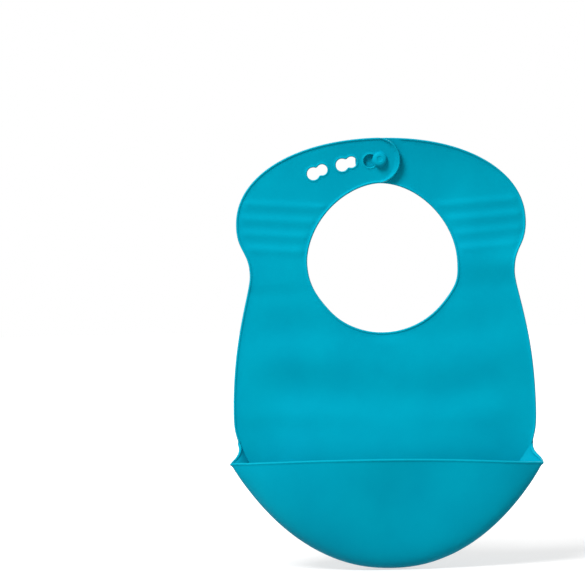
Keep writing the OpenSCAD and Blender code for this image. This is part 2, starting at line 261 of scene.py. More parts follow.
def curve3(a, b, c, t):
    """Points on a curve with three control points."""
    return mix(mix(a, b, t), mix(b, c, t), t)


def curve4(a, b, c, d, t):
    """Points on a curve with four control points."""
    return mix(curve3(a, b, c, t), curve3(b, c, d, t), t)


def signed_power(v, p):
    """A power that keeps the sign."""
    return np.sign(v) * np.abs(v) ** p


def lengths(points):
    """Distance travelled along a row of points."""
    steps = np.linalg.norm(np.diff(points, axis=0), axis=1)
    return np.concatenate([[0.0], np.cumsum(steps)])


def resample(points, step):
    """The same curve with evenly spaced points."""
    run = lengths(points)
    count = max(2, int(round(run[-1] / step)) + 1)
    at = np.linspace(0.0, run[-1], count)
    return np.stack([np.interp(at, run, points[:, i]) for i in range(points.shape[1])], axis=1)


def tangents(points):
    """Directions along a row of points."""
    return unit(np.gradient(points, axis=0))


def left_of(direction):
    """Directions turned a quarter turn to the left."""
    return np.stack([-direction[..., 1], direction[..., 0]], axis=-1)


def cut_curve(points, measure):
    """Splits a row of points where the measure changes sign, with the cut point in both parts."""
    values = measure(points)
    i = int(np.nonzero(np.sign(values[:-1]) != np.sign(values[1:]))[0][0])
    share = values[i] / (values[i] - values[i + 1])
    cut = points[i] + (points[i + 1] - points[i]) * share
    return np.vstack([points[: i + 1], cut]), np.vstack([cut, points[i + 1:]])


def mirrored(points):
    """The same points on the other side of the bib, in the opposite order."""
    flipped = np.array(points[::-1])
    flipped[:, 0] *= -1.0
    return flipped


def nearest(points, others):
    """Distance from each point to the closest of some others."""
    best = np.full(len(points), np.inf)
    for part in np.array_split(others, max(1, len(others) // 400)):
        gap = np.linalg.norm(points[:, None, :] - part[None, :, :], axis=2)
        best = np.minimum(best, gap.min(axis=1))
    return best


def inside(points, loop):
    """Which points lie inside a closed loop."""
    x, y = points[:, 0], points[:, 1]
    hit = np.zeros(len(points), bool)
    for a, b in zip(loop, np.roll(loop, -1, axis=0)):
        crosses = (a[1] > y) != (b[1] > y)
        if crosses.any():
            at = a[0] + (y - a[1]) * (b[0] - a[0]) / (b[1] - a[1] + 1e-30)
            hit ^= crosses & (x < at)
    return hit


def upright(points):
    """Turns flat points with heights into the bib's standing frame."""
    return np.stack([points[:, 0], -points[:, 2], points[:, 1]], axis=1)


# Soft bends of the sheet. Their places are in millimetres across and up from the neck's middle.
WAVE_LENGTH = 46.0
WAVE_START = -108.0
WAVE_SWING = 0.5
MIDDLE_WAVE, LEFT_WAVE, RIGHT_WAVE = 0.45, 0.8, 0.45
SIDE_CALM = 0.7
BELLY_FALL = 0.85
LEFT_ROOT = 0.3


def sheet_wave(sheet, points):
    """How far the soft sheet bends out of its plane: waves, belly, uneven margins, nodding collar."""
    x, y = points[:, 0] / MM, points[:, 1] / MM
    out = np.abs(x)
    phase = 2.0 * math.pi * (y - WAVE_START) / WAVE_LENGTH + WAVE_SWING * np.sin(x / 33.0 + 1.0)
    band = ramp(y, -128.0, -108.0) * ramp(y, -14.0, -60.0)
    across = MIDDLE_WAVE + np.where(x < 0.0, LEFT_WAVE, RIGHT_WAVE) * ramp(out, 0.0, 60.0)
    waves = -sheet.wave * np.sin(phase) * band * across * (1.0 - SIDE_CALM * ramp(out, 68.0, 102.0))
    spread = ramp(x, -97.0, -52.0) * (1.0 - BELLY_FALL * ramp(x, -10.0, 100.0))
    belly = sheet.belly * spread * ramp(y, -94.0, -156.0)
    margin = ramp(out, 66.0, 112.0) * ramp(y, -52.0, -112.0)
    curl = -np.sign(x) * sheet.curl * margin
    fade = ramp(y, -208.0, -158.0)
    lean = ramp(x, 18.0, 158.0) * ramp(y, -10.0, 20.0)
    nod = (np.maximum(y - 30.0, 0.0) / 58.0) ** 2 * (1.0 + ramp(x, -100.0, 100.0))
    dip = ramp(y, -63.0, -54.0) * np.exp(-(((x - 4.0) / 14.0) ** 2)) * (y < 0.0)
    low_right = ramp(y, -25.0, 3.0) * ramp(y, 84.0, 4.0)
    low_left = ramp(y, -27.0, -16.0) * ramp(y, 28.0, -12.0)
    root = np.where(x > 0.0, low_right, LEFT_ROOT * low_left) * ramp(out, 40.0, 70.0)
    bends = sheet.nod * nod + sheet.root * root - sheet.lean * lean - sheet.dip * dip
    return waves + (belly + curl) * fade + bends


def pocket_hang(sheet, points):
    """How far the soft pocket and the panel behind it hang askew: the left side up, the right side down."""
    height = points[..., 1] / MM
    heave = sheet.heave * ramp(height, -215.0, -165.0)
    return (heave - points[..., 0] * math.tan(sheet.skew)) * ramp(height, -95.0, -140.0)


# Edges of the bib


# The right and the left sway of the neck opening's edge, and the handles of the curves down the side
SWAY_HEIGHT = (-18.0 * MM, -34.0 * MM)
SWAY_SHARE = (1.0, 0.7)
SWAY_REACH = 11.0 * MM
SWAY_START = 20.0 * MM
SHOULDER_HANDLES = (18.5 * MM, 18.0 * MM)
CHEST_HANDLES = (12.0 * MM, 56.0 * MM)
NOTCH_HANDLES = (14.0 * MM, 5.0 * MM, 1.1 * MM)


def neck_curve(collar, degrees):
    """The neck opening at some angles, counted from its right-hand side."""
    a = np.radians(degrees)
    up = np.sin(a) > 0
    power = np.where(up, 2.0 / collar.neck_fullness, 1.0)
    half_height = collar.neck_height / 2
    reach = np.where(up, half_height - collar.neck_wide, half_height + collar.neck_wide)
    x = collar.neck_half * signed_power(np.cos(a), power)
    y = collar.neck_wide + reach * signed_power(np.sin(a), power)
    middle = np.where(x > 0.0, *SWAY_HEIGHT)
    share = np.where(x > 0.0, *SWAY_SHARE) * ramp(np.abs(x), 0.0, SWAY_START)
    sway = collar.neck_sway * share * np.exp(-(((y - middle) / SWAY_REACH) ** 2))
    return np.stack([x + sway, y], axis=1)


def side_curve(a, b, lead, trail, lean=0.0):
    """A soft curve down the side, upright at its start and leaning a little at its end."""
    a, b = np.array(a), np.array(b)
    t = np.linspace(0.0, 1.0, 60)
    return curve4(a, a - (0.0, lead), b + (lean, trail), b, t)


def outer_curve(collar):
    """The right outer edge, from the top of the collar down to the waist."""
    a = np.radians(np.linspace(0.0, 90.0, 200))
    power = 2.0 / collar.fullness
    rise = collar.top - collar.shoulder_height
    x = collar.shoulder_half * np.sin(a) ** power
    y = collar.shoulder_height + rise * np.clip(np.cos(a), 0.0, 1.0) ** power
    shoulder = (collar.shoulder_half, collar.shoulder_height)
    waist = (collar.waist_half, collar.waist_height)
    down = side_curve(shoulder, waist, *SHOULDER_HANDLES)
    return np.vstack([np.stack([x, y], axis=1), down[1:]])


def panel_side(collar):
    """The right side of the panel, from the waist down to the pocket's corner."""
    waist = (collar.waist_half, collar.waist_height)
    chest = (collar.chest_half, collar.chest_height)
    notch = (collar.notch_half, collar.notch_height)
    upper = side_curve(waist, chest, *CHEST_HANDLES)
    lower = side_curve(chest, notch, *NOTCH_HANDLES)
    return np.vstack([upper, lower[1:]])


EDGE_ROWS = np.array([0.1, 0.25, 0.45, 0.7, 1.0, 1.35, 1.7, 2.1]) * MM
EDGE_STEP = 1.5 * MM


def stud_place():
    """Centre of the stud."""
    return np.array([(STUD_LOW.x + STUD_HIGH.x) / 2, (STUD_LOW.z + STUD_HIGH.z) / 2])


def end_circle(settings):
    """Centre and radius of the straps' round ends."""
    high, low = settings.collar.top, settings.collar.neck_height / 2
    return np.array([-settings.closure.end_left, (high + low) / 2]), (high - low) / 2


def peel_line():
    """A point on the line that the tab lifts about, and the direction from it towards the tab's end."""
    joint = JOINTS["tab_peel"]
    axis = joint["axis"]
    return np.array([joint["pos_m"][0], joint["pos_m"][2]]), np.array([-axis[2], axis[0]])


def from_peel(points):
    """Distance from the peel line, towards the tab's end."""
    root, out = peel_line()
    return (points - root) @ out


def ladder(inner, inner_run, outer, outer_run, step):
    """Points on a straight cut across the sheet, from edge to edge, with the edge rows at both ends."""
    across = unit(outer - inner)
    width = np.linalg.norm(outer - inner)
    near = EDGE_ROWS / abs(inner_run[0] * across[1] - inner_run[1] * across[0])
    far = EDGE_ROWS / abs(outer_run[0] * across[1] - outer_run[1] * across[0])
    count = max(2, int((width - near[-1] - far[-1]) / step))
    middle = np.linspace(near[-1], width - far[-1], count + 1)[1:-1]
    reach = np.concatenate([[0.0], near, middle, (width - far)[::-1], [width]])
    return inner + reach[:, None] * across


def first_rows(points):
    """The edge-row points at a ladder's start."""
    return points[1: len(EDGE_ROWS) + 1]


def last_rows(points):
    """The edge-row points at a ladder's end, from the edge inwards."""
    return points[::-1][1: len(EDGE_ROWS) + 1]


# Nets of flat points that become closed sheets


SLIVER = 0.002 * MM


class Net:
    """Flat points and the edges that their triangles keep."""

    def __init__(self):
        self.points = []
        self.edge_gap = []
        self.edges = []
        self.known = {}
        self.rims = []

    def add(self, point, gap):
        """Adds a point once, with its distance from the free edge."""
        key = (round(point[0] / MM, 4), round(point[1] / MM, 4))
        if key not in self.known:
            self.known[key] = len(self.points)
            self.points.append((float(point[0]), float(point[1])))
            self.edge_gap.append(gap)
        return self.known[key]

    def chain(self, points, gap, closed=False):
        """Adds a row of points and keeps the edges between them."""
        ids = [self.add(p, gap) for p in points]
        ends = ids[1:] + ids[:1] if closed else ids[1:]
        self.edges += [(a, b) for a, b in zip(ids, ends) if a != b]

    def free_edge(self, points, rows, start=None, end=None, closed=False):
        """A free edge with the sheet on its left, and rows beside it that carry the bead."""
        self.chain(points, 0.0, closed)
        self.rims.append(points)
        if closed:
            run = unit(np.roll(points, -1, axis=0) - np.roll(points, 1, axis=0))
        else:
            run = tangents(points)
        for i, gap in enumerate(rows):
            row = points + left_of(run) * gap
            if start is not None:
                row[0] = start[i]
            if end is not None:
                row[-1] = end[i]
            self.chain(row, gap, closed)

    def fill(self, loop, holes, seeds, clearance):
        """Triangles of the area inside the loop, with seed points where there is room."""
        keep = inside(seeds, loop)
        for hole in holes:
            keep &= ~inside(seeds, hole)
        seeds = seeds[keep]
        seeds = seeds[nearest(seeds, np.array(self.points)) > clearance]
        count = len(self.points)
        flat = [Vector((x / MM, y / MM)) for x, y in self.points]
        flat += [Vector((x / MM, y / MM)) for x, y in seeds]
        found = delaunay_2d_cdt(flat, self.edges, [], 0, 1e-5)
        points = np.array([(v.x, v.y) for v in found[0]]) * MM
        gaps = np.full(len(points), np.inf)
        for i, sources in enumerate(found[3]):
            known = [self.edge_gap[k] for k in sources if k < count]
            if known:
                gaps[i] = min(known)
        triangles = np.array(found[2])
        corners = points[triangles]
        sides = np.roll(corners, -1, axis=1) - corners
        doubled = np.abs(sides[:, 0, 0] * sides[:, 1, 1] - sides[:, 0, 1] * sides[:, 1, 0])
        height = doubled / np.linalg.norm(sides, axis=2).max(axis=1)
        centres = corners.mean(axis=1)
        wanted = inside(centres, loop) & (height > SLIVER)
        for hole in holes:
            wanted &= ~inside(centres, hole)
        return points, gaps, triangles[wanted]


def grid_seeds(low, high, step_x, step_y):
    """Staggered points over a rectangle."""
    xs = np.arange(low[0], high[0], step_x)
    ys = np.arange(low[1], high[1], step_y)
    x, y = np.meshgrid(xs, ys)
    x = x + (np.arange(len(ys)) % 2)[:, None] * step_x / 2
    return np.stack([x.ravel(), y.ravel()], axis=1)


BEAD_TOP = 0.6


def edge_profile(gap, half, bead, width, rounding):
    """Half thickness of the sheet at some distance from its free edge."""
    rise = ramp(gap / width, 1.0, BEAD_TOP)
    near = 1.0 - np.clip(gap / rounding, 0.0, 1.0)
    return (half + bead * rise) * np.sqrt(np.clip(1.0 - near * near, 0.0, 1.0))


def sheet_heights(sheet, gaps, bead, back_bead, width):
    """Front and back heights of the sheet beside its free edges."""
    half = sheet.thickness / 2
    front = half + edge_profile(gaps, half, bead, width, sheet.edge_round)
    back = half - edge_profile(gaps, half, back_bead, width, sheet.edge_round)
    return front, back


def new_piece(name, points, faces, caps, edge_gap):
    """A mesh piece from points, smooth faces and flat caps, with coincident points joined."""
    keys = np.round(points / (MM * 1e-3)).astype(np.int64)
    _, first, joined = np.unique(keys, axis=0, return_index=True, return_inverse=True)
    joined = joined.ravel()
    clean = []
    flat = []
    for group, is_cap in ((faces, False), (caps, True)):
        for face in group:
            ring = [int(joined[i]) for i in face]
            ring = [v for i, v in enumerate(ring) if v != ring[i - 1]]
            if len(set(ring)) == len(ring) and len(ring) > 2:
                clean.append(ring)
                flat.append(is_cap)
    used = np.unique(np.concatenate([np.array(r) for r in clean]))
    place = np.full(len(first), -1)
    place[used] = np.arange(len(used))
    mesh = bpy.data.meshes.new(name)
    mesh.from_pydata(points[first][used].tolist(), [], [[int(place[v]) for v in r] for r in clean])
    mesh.update()
    mesh.polygons.foreach_set("use_smooth", [True] * len(mesh.polygons))
    cap_edges = {key for p in mesh.polygons if flat[p.index] for key in p.edge_keys}
    for edge in mesh.edges:
        edge.use_edge_sharp = tuple(sorted(edge.vertices)) in cap_edges
    attribute = mesh.attributes.new("edge_gap", "FLOAT", "POINT")
    attribute.data.foreach_set("value", np.minimum(edge_gap[first][used], 1.0).astype(np.float32))
    piece = bpy.data.objects.new(name, mesh)
    bpy.context.scene.collection.objects.link(piece)
    return piece


def sheet_piece(name, points, gaps, triangles, front, back):
    """A closed sheet: front and back over the same triangles, with flat caps on the cut edges."""
    count = len(points)
    solid = np.vstack([front, back])
    faces = triangles.tolist() + (triangles[:, ::-1] + count).tolist()
    seen = {}
    for a, b, c in triangles.tolist():
        for edge in ((a, b), (b, c), (c, a)):
            seen[edge] = True
    caps = []
    for a, b in seen:
        if (b, a) not in seen and not (gaps[a] == 0.0 and gaps[b] == 0.0):
            caps.append([b, a, a + count, b + count])
    return new_piece(name, upright(solid), faces, caps, np.concatenate([gaps, gaps]))


# The crumb pocket's skin


def pocket_fall(pocket, u):
    """Share of the drop at u, from -1 at the left tip to 1 at the right."""
    return np.clip(1.0 - np.abs(u) ** pocket.roundness, 0.0, 1.0) ** pocket.fall


def contour(pocket, u):
    """The pocket's widest contour."""
    return np.array([pocket.half * u, pocket.tip_height - pocket.drop * pocket_fall(pocket, u)])


def crease(pocket, u):
    """The line where the pocket's turn leaves the panel."""
    half = pocket.half - (pocket.left_inset if u < 0.0 else pocket.right_inset)
    drop = pocket.drop - pocket.turn_inset
    return np.array([half * u, pocket.tip_height - drop * pocket_fall(pocket, u)])


def contour_out(pocket, w):
    """Direction out of the contour, in the plane of the sheet."""
    if abs(w) >= 90.0:
        return np.array([math.copysign(1.0, w), 0.0])
    ahead = contour(pocket, math.sin(math.radians(w + 0.5)))
    behind = contour(pocket, math.sin(math.radians(w - 0.5)))
    run = unit(ahead - behind)
    return np.array([run[1], -run[0]])


SECTION = np.linspace(0.0, 1.0, 90)

# Places along the pocket, from 0 at its middle to 1 at its tips
TIP_LOBE = 0.985
STRAIGHT_CORNER = 0.8
STEEP_MIDDLE = 0.5

# The wall's shape, as shares of its height
LOW_BULGE = 0.153
HIGH_BEND = 0.38
SIDE_SLANT, MIDDLE_SLANT = 0.033, 0.1

RIM_FULLNESS = 0.8
RIM_TURN = math.radians(87.0)
SOFT_CORNER = 20.0 * MM
TWIST_PEAK = 1.6

# How each pleated corner's free edge bends, near the tip and near the notch: outwards and upwards
LEFT_CORNER = np.array([[-0.6, 1.4], [-2.4, -9.5]]) * MM
RIGHT_CORNER = np.array([[4.2, 2.6], [-3.4, -10.0]]) * MM
PLEAT_FULLNESS = 1.15


def corner_bend(pocket, start, end, side):
    """The point that a pleated corner's section bends towards."""
    bow = pocket.left_bow if side < 0.0 else pocket.right_bow
    return start + (end - start) * (0.5 - bow, 0.5 - bow, 0.5 + bow)


def bowl_section(sheet, pocket, w):
    """Middle of the sheet from the crease, round the bottom turn and up the wall to the rim."""
    u = math.sin(math.radians(w))
    off = abs(u)
    half = sheet.thickness / 2
    out = contour_out(pocket, w)
    flare = np.array([math.copysign(pocket.tip_flare, u) * ramp(off, TIP_LOBE, 1.0), 0.0, 0.0])
    tuck = pocket.tuck * ramp(u, -1.0, -0.86) * ramp(u, -0.05, -0.55)
    start = np.append(crease(pocket, u), half)
    widest = np.append(contour(pocket, u) - half * out, pocket.parting - tuck) + flare
    share = ramp(off, 1.0, STRAIGHT_CORNER)
    bend = corner_bend(pocket, start, widest, u) * (1.0 - share) + np.append(widest[:2], half) * share
    turn = curve3(start, bend, widest, SECTION)
    arch = max(0.0, 1.0 - u * u)
    depth = pocket.parting + (pocket.depth - pocket.parting) * arch ** RIM_FULLNESS
    twist = pocket.twist * TWIST_PEAK * math.sin(math.pi * u) * (1.0 - off)
    rim = np.array([pocket.half * u, pocket.tip_height + pocket.rim_rise * arch, depth - twist]) + flare
    turned_in = RIM_TURN * min(1.0, max(0.0, rim[1] - widest[1]) / SOFT_CORNER)
    rim = rim - half * np.append(math.cos(turned_in) * out, math.sin(turned_in))
    tall = max(0.0, rim[1] - widest[1])
    if tall < 1e-6:
        return turn
    low = widest + (0.0, 0.0, LOW_BULGE * tall)
    slant = SIDE_SLANT + (MIDDLE_SLANT - SIDE_SLANT) * ramp(off, STEEP_MIDDLE, 0.0)
    high = np.array([rim[0], widest[1] + HIGH_BEND * tall, rim[2] - slant * tall])
    return np.vstack([turn, curve4(widest, low, high, rim, SECTION)[1:]])


def notch_point(collar):
    """Where the panel's right edge meets the pocket's pleated corner."""
    return np.array([collar.notch_half, collar.notch_height])


def gusset_section(sheet, collar, pocket, s, side):
    """Middle of the sheet across a pleated corner, from the crease to its free edge."""
    half = sheet.thickness / 2
    tip = contour(pocket, 1.0)
    corner = crease(pocket, side) * (side, 1.0)
    notch = notch_point(collar)
    tip_bend, notch_bend = LEFT_CORNER if side < 0.0 else RIGHT_CORNER
    edge = curve4(tip, tip + tip_bend, notch + notch_bend, notch, np.array([s]))[0]
    start = corner + (notch - corner) * s
    lean = math.pi / 2 * (1.0 - s)
    edge = edge - half * math.sin(lean) * unit(edge - start) + (pocket.tip_flare * (1.0 - s) ** 3, 0.0)
    height = pocket.parting * (1.0 - s) ** PLEAT_FULLNESS + half * math.cos(lean)
    ends = np.array([np.append(start, half), np.append(edge, height)])
    ends[:, 0] *= side
    return curve3(ends[0], corner_bend(pocket, ends[0], ends[1], side), ends[1], SECTION)


RIM_ROWS = np.array([0.0, 0.1, 0.25, 0.45, 0.7, 1.0, 1.35, 1.7, 2.1, 2.8]) * MM
PLAIN_ROWS = 52
COLUMN_STEP = 1.25
SHORT_SECTION = 6.0 * MM
PLEAT_COLUMNS = 10
SOFT_COLUMNS = 8
SOFT_PASSES = 4
FINE_STEP = 0.2 * MM
EDGE_SAMPLE = 0.4 * MM
BACKWARDS = (0.0, 0.0, -1.0)


def section_rows(section):
    """Points of a section at set distances from its free edge, which comes last."""
    run = lengths(section)
    if run[-1] < 1e-7:
        return np.repeat(section[-1:], PLAIN_ROWS + len(RIM_ROWS) - 1, axis=0)
    rim = RIM_ROWS * min(1.0, run[-1] / SHORT_SECTION)
    plain = np.linspace(run[-1], rim[-1], PLAIN_ROWS)
    at = run[-1] - np.concatenate([plain, rim[::-1][1:]])
    return np.stack([np.interp(at, run, section[:, i]) for i in range(3)], axis=1)


def gusset_shares(collar, pocket, side):
    """Places of a pleated corner's sections on its crease, from 1 at the notch towards 0 at the corner."""
    along = crease(pocket, side) * (side, 1.0) - notch_point(collar)
    span = np.linalg.norm(along)
    rows = EDGE_ROWS * span / abs(along[0])
    plain = np.linspace(rows[-1], span, PLEAT_COLUMNS)[1:-1]
    return 1.0 - np.concatenate([[0.0], rows, plain]) / span


def pocket_skin(settings):
    """The pocket's outer and inner points by column and row, their free-edge distance, and the crease."""
    sheet, collar, pocket = settings.sheet, settings.collar, settings.pocket
    left, right = gusset_shares(collar, pocket, -1.0), gusset_shares(collar, pocket, 1.0)
    columns = [gusset_section(sheet, collar, pocket, s, -1.0) for s in left]
    turns = np.arange(-90.0, 90.0 + COLUMN_STEP / 2, COLUMN_STEP)
    columns += [bowl_section(sheet, pocket, w) for w in turns]
    columns += [gusset_section(sheet, collar, pocket, s, 1.0) for s in right[::-1]]
    middle = np.array([section_rows(c) for c in columns])
    place = np.arange(len(middle))
    from_tip = np.minimum(np.abs(place - len(left)), np.abs(place - (len(middle) - len(right) - 1)))
    soft = ramp(from_tip, SOFT_COLUMNS, 0)
    for _ in range(SOFT_PASSES):
        even = middle.copy()
        even[1:-1] = (middle[:-2] + 2.0 * middle[1:-1] + middle[2:]) / 4.0
        even[:, 0] = middle[:, 0]
        middle += (even - middle) * soft[:, None, None]
    normal = unit(np.cross(np.gradient(middle, axis=0), np.gradient(middle, axis=1)))
    normal[np.linalg.norm(normal, axis=2) < 0.5] = BACKWARDS
    joint = unit(normal[:, 1] + BACKWARDS)
    fit = np.clip(np.sum(joint * BACKWARDS, axis=1), 0.5, 1.0)
    normal[:, 0] = joint / fit[:, None]
    gap = nearest(middle.reshape(-1, 3), resample(middle[:, -1], FINE_STEP)).reshape(middle.shape[:2])
    gap[:, -1] = 0.0
    half = sheet.thickness / 2
    width, rounding = sheet.bead_width, sheet.edge_round
    outer = edge_profile(gap, half, pocket.rim_bead, width, rounding)
    inner = edge_profile(gap, half, sheet.bead_height, width, rounding)
    lift = np.zeros_like(middle)
    lift[:, :, 1] = pocket_hang(sheet, middle)
    lift[:, :, 2] = sheet_wave(sheet, middle[:, 0, :2])[:, None]
    skin_out = middle + normal * outer[..., None] + lift
    skin_in = middle - normal * inner[..., None] + lift
    return skin_out, skin_in, gap, middle[:, 0, :2]


# Materials


WHITE = (1.0, 1.0, 1.0, 1.0)
SPECULAR_TINT = (0.03, 0.8, 1.0, 1.0)


def node(tree, kind, place, inputs=None, **settings):
    """A shader node with its settings and plain input values."""
    made = tree.nodes.new(kind)
    made.location = place
    for key, value in settings.items():
        setattr(made, key, value)
    for key, value in (inputs or {}).items():
        made.inputs[key].default_value = value
    return made


def span(tree, place, source, start, end, **settings):
    """A node that maps a value from one range to another, each given as its low and high end."""
    limits = {"From Min": start[0], "From Max": start[1], "To Min": end[0], "To Max": end[1]}
    made = node(tree, "ShaderNodeMapRange", place, limits, **settings)
    tree.links.new(source, made.inputs["Value"])
    return made.outputs["Result"]


def new_material(name):
    """A material, its node tree and its shader."""
    material = bpy.data.materials.new(name)
    material.use_nodes = True
    return material, material.node_tree, material.node_tree.nodes["Principled BSDF"]


def silicone_finish(finish):
    """Satin moulded silicone: faint clouds, painted light on the thin edges, uneven gloss and a fine matt
    grain.
    """
    material, tree, shader = new_material("satin_silicone")
    link = tree.links.new
    shader.inputs["Specular IOR Level"].default_value = 0.12
    shader.inputs["Specular Tint"].default_value = SPECULAR_TINT
    place = node(tree, "ShaderNodeTexCoord", (-1300, 0))

    def noise(height, scale, detail, roughness):
        """A noise texture that keeps its place on the piece."""
        inputs = {"Scale": scale, "Detail": detail, "Roughness": roughness}
        made = node(tree, "ShaderNodeTexNoise", (-1050, height), inputs)
        link(place.outputs["Object"], made.inputs["Vector"])
        return made.outputs["Fac"]

    shade = span(tree, (-850, 250), noise(250, 26.0, 3.0, 0.5), (0.35, 0.7), (0.0, 1.0))
    colours = {6: (*finish.tone, 1.0), 7: (*finish.deep, 1.0)}
    body = node(tree, "ShaderNodeMix", (-620, 250), colours, data_type="RGBA")
    link(shade, body.inputs[0])
    # Painted light: the free edges are painted paler within 2.2 mm, standing in for light through the thin
    # translucent edge and the bead's catch light.
    gap = node(tree, "ShaderNodeAttribute", (-1050, 550), attribute_name="edge_gap").outputs["Fac"]
    thin = span(tree, (-850, 550), gap, (0.0, 2.2 * MM), (0.4, 0.0), interpolation_type="SMOOTHSTEP")
    skin = node(tree, "ShaderNodeMix", (-380, 300), {7: (*finish.painted_edge_light, 1.0)}, data_type="RGBA")
    link(thin, skin.inputs[0])
    link(body.outputs[2], skin.inputs[6])
    link(skin.outputs[2], shader.inputs["Base Color"])
    rough = (finish.roughness - 0.06, finish.roughness + 0.08)
    gloss = span(tree, (-620, -100), noise(-100, 70.0, 4.0, 0.6), (0.3, 0.7), rough)
    link(gloss, shader.inputs["Roughness"])
    coarse = node(tree, "ShaderNodeBump", (-620, -600), {"Strength": 0.25, "Distance": 0.25 * MM})
    link(noise(-650, 120.0, 2.0, 0.5), coarse.inputs["Height"])
    fine = node(tree, "ShaderNodeBump", (-380, -400), {"Strength": 0.12, "Distance": 0.06 * MM})
    link(noise(-400, 2400.0, 2.0, 0.6), fine.inputs["Height"])
    link(coarse.outputs["Normal"], fine.inputs["Normal"])
    link(fine.outputs["Normal"], shader.inputs["Normal"])
    return material


def bib_material():
    """The silicone material, made once."""
    found = bpy.data.materials.get("satin_silicone")
    return found or silicone_finish(bpy.context.scene.bib.finish)


def dress(piece):
    """Gives a piece its finish."""
    piece.data.materials.append(bib_material())


# Pieces


CURVE_POINTS = 900
END_POINTS = 120
END_TURN = 86.0
ROW_SHARE = 0.87
RIB_ROW = 1.2 * MM
STRAP_CLEAR, PANEL_CLEAR, TAB_CLEAR, END_CLEAR = 1.0 * MM, 1.6 * MM, 0.7 * MM, 1.0 * MM


def raised(points, height):
    """Flat points with their heights."""
    return np.column_stack([points, height])


def strap_edges(settings, side):
    """Edges of one half of the collar from the waist up: the neck edge and the outer edge."""
    collar = settings.collar
    neck = neck_curve(collar, 90.0 - side * np.linspace(110.0, 0.0, CURVE_POINTS))
    neck = cut_curve(neck, lambda p: p[:, 1] - collar.waist_height)[1]
    outer = outer_curve(collar)[::-1] * (side, 1.0)
    return neck, outer


def waist_ladder(settings, side):
    """The cut between a strap and the panel, from the neck to the outer edge."""
    neck, outer = strap_edges(settings, side)
    upright_run = np.array([0.0, 1.0])
    return ladder(neck[0], tangents(neck[:5])[0], outer[0], upright_run, settings.sheet.spacing)


def peel_cut(settings, edge):
    """Splits an edge of the left strap just before the tab's bend begins."""
    shift = settings.closure.bend + 0.5 * MM
    return cut_curve(edge, lambda p: from_peel(p) + shift)


def peel_ladder(settings):
    """The cut between the left strap and the tab, from the neck to the outer edge."""
    neck, outer = (peel_cut(settings, edge)[1][:5] for edge in strap_edges(settings, -1.0))
    return ladder(neck[0], tangents(neck)[0], outer[0], tangents(outer)[0], settings.sheet.spacing)


def round_end(settings, side):
    """The straps' round end, with the sheet on its left."""
    centre, radius = end_circle(settings)
    a = np.radians(np.linspace(-END_TURN, END_TURN, END_POINTS))
    if side < 0:
        a = a + math.pi
    return centre + radius * np.stack([np.cos(a), np.sin(a)], axis=1)


def rib_heights(settings, points, edge_gap):
    """Height of the soft ribs on the shoulders."""
    collar = settings.collar
    middle = (collar.neck_half + collar.shoulder_half) / 2
    lean = (np.abs(points[:, 0]) - middle) * math.tan(collar.rib_slope)
    total = np.zeros(len(points))
    for i in range(collar.rib_count):
        off = points[:, 1] - lean - (collar.rib_low + i * collar.rib_pitch)
        width = np.where(off > 0.0, collar.rib_width, collar.rib_tail)
        total += np.exp(-((off / width) ** 2))
    return collar.rib_height * total * ramp(edge_gap, 1.0 * MM, 6.0 * MM)


def strap_seeds(settings, low, high):
    """Seed points for a strap, closer together over the ribs."""
    sheet, collar = settings.sheet, settings.collar
    rib_top = collar.rib_low + collar.rib_count * collar.rib_pitch
    ribbed = grid_seeds(low, (high[0], min(high[1], rib_top)), sheet.spacing, RIB_ROW)
    if high[1] <= rib_top:
        return ribbed
    plain = grid_seeds((low[0], rib_top), high, sheet.spacing, sheet.spacing * ROW_SHARE)
    return np.vstack([ribbed, plain])


def strap_skin(name, settings, net, loop, body):
    """A strap's closed skin, which bends over the ribs between the panel and the collar."""
    sheet = settings.sheet
    seeds = strap_seeds(settings, loop.min(axis=0), loop.max(axis=0))
    points, gaps, triangles = net.fill(loop, [], seeds, STRAP_CLEAR)
    edge_gap = nearest(points, np.vstack([resample(r, EDGE_SAMPLE) for r in net.rims]))
    front, back = sheet_heights(sheet, gaps, sheet.bead_height, sheet.back_bead, sheet.bead_width)
    front = front + rib_heights(settings, points, edge_gap)
    if body == "right_collar":
        hidden = ramp(points[:, 0], TAB_HIGH.x + 2.0 * MM, TAB_HIGH.x - 2.0 * MM)
        plain, _ = sheet_heights(sheet, gaps, 0.0, 0.0, sheet.bead_width)
        front = np.where(points[:, 1] > stud_place()[1] / 2, front + (plain - front) * hidden, front)
    wave = sheet_wave(sheet, points)
    sides = raised(points, front + wave), raised(points, back + wave)
    piece = sheet_piece(name, points, gaps, triangles, *sides)
    dress(piece)
    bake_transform(piece)
    return piece


class BIB_OT_left_strap(bpy.types.Operator):
    """Make the left half of the collar, from the waist to the tab's root"""

    bl_idname = "bib.left_strap"
    bl_label = "Left strap"

    def execute(self, context):
        settings = context.scene.bib
        edges = [peel_cut(settings, edge)[0] for edge in strap_edges(settings, -1.0)]
        neck = resample(edges[0], EDGE_STEP)
        outer = resample(edges[1], EDGE_STEP)[::-1]
        waist = waist_ladder(settings, -1.0)
        peel = peel_ladder(settings)
        net = Net()
        net.free_edge(neck, EDGE_ROWS, first_rows(waist), first_rows(peel))
        net.free_edge(outer, EDGE_ROWS, last_rows(peel), last_rows(waist))
        net.chain(peel, np.inf)
        net.chain(waist, np.inf)
        loop = np.vstack([neck, peel[1:-1], outer, waist[::-1][1:-1]])
        piece = strap_skin("left_strap_skin", settings, net, loop, "left_collar")
        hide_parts("left_shoulder", "left_strap")
        return {"FINISHED"}


